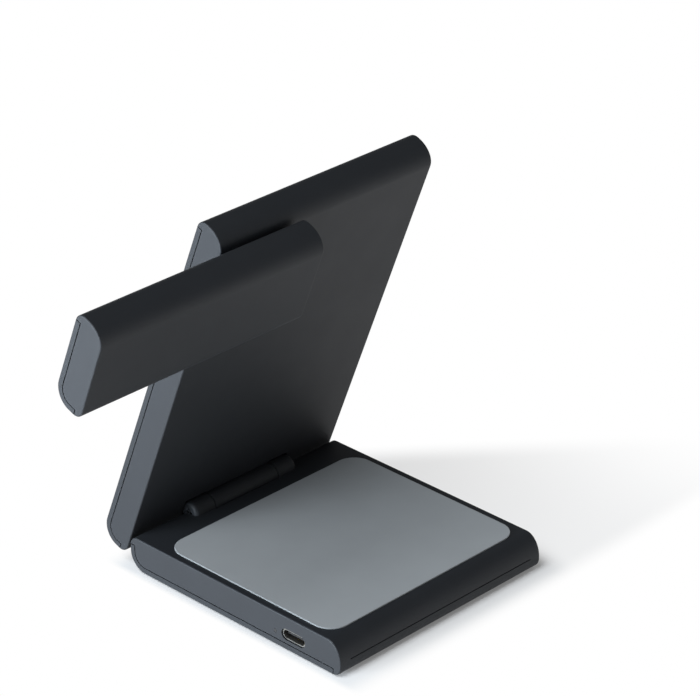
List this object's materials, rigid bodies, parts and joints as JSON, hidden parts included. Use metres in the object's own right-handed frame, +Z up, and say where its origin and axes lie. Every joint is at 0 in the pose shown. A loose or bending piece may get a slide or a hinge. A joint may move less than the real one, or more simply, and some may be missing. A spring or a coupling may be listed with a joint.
{
  "type": "folding three in one wireless charger",
  "caption": "Folding wireless charger of flat rounded leaves: a base with a charging mat, a hinged phone stand and a swing-out arm with a round watch puck.",
  "frame": {"origin": "on the resting plane, under the middle of the base's footprint", "axes": "+X along the fold hinge, the watch arm reaching to -X; +Y from the base's nose towards the hinge; +Z up"},
  "size_m": [0.1352, 0.0954, 0.1217],
  "materials": {
    "soft_touch": "soft-touch matte, near-black with a blue cast",
    "grey_silicone": "matte mid-grey silicone",
    "black_rubber": "matte non-slip rubber",
    "copper_wire": "wound enamelled wire",
    "ferrite": "sintered matte",
    "circuit_board": "green solder mask",
    "chip_epoxy": "moulded epoxy",
    "socket_steel": "drawn, dull tin plated",
    "socket_plastic": "moulded black",
    "clear_lens": "smoky light pipe",
    "screw_steel": "black zinc",
    "pin_steel": "ground",
    "sleeve_bronze": "rolled",
    "magnet_nickel": "nickel plated",
    "puck_gloss": "smooth satin",
    "bearing_acetal": "turned"
  },
  "bodies": {
    "base": {"base_shell": "soft_touch", "base_cover": "soft_touch", "foot_pad": "black_rubber", "earbud_mat": "grey_silicone", "earbud_coil": "copper_wire", "earbud_ferrite": "ferrite", "main_board": "circuit_board", "charge_controller": "chip_epoxy", "power_inductors": "chip_epoxy", "socket_shell": "socket_steel", "socket_tongue": "socket_plastic", "indicator_lens": "clear_lens", "base_screws": "screw_steel", "hinge_pin": "pin_steel"},
    "stand": {"stand_shell": "soft_touch", "stand_cover": "soft_touch", "phone_pad": "grey_silicone", "phone_coil": "copper_wire", "phone_ferrite": "ferrite", "phone_magnets": "magnet_nickel", "stand_board": "circuit_board", "phone_driver": "chip_epoxy", "stand_screws": "screw_steel", "hinge_sleeve": "sleeve_bronze", "pivot_bush": "bearing_acetal"},
    "watch_arm": {"arm_shell": "soft_touch", "arm_cover": "soft_touch", "watch_puck": "puck_gloss", "watch_coil": "copper_wire", "watch_magnet": "magnet_nickel", "watch_ferrite": "ferrite", "arm_board": "circuit_board", "watch_driver": "chip_epoxy", "arm_pivot": "pin_steel", "pivot_washer": "bearing_acetal", "pivot_clip": "pin_steel"}
  },
  "joints": [
    {"name": "stand_fold", "type": "hinge", "parent": "base", "child": "stand", "pos_m": [0, 0.03965, 0.0111], "axis": [1, 0, 0], "range_deg": [0, 68.8]},
    {"name": "arm_swing", "type": "hinge", "parent": "stand", "child": "watch_arm", "pos_m": [-0.02675, 0.00625, 0.1034], "axis": [0, 0.9323, 0.3616], "range_deg": [0, 180]}
  ]
}
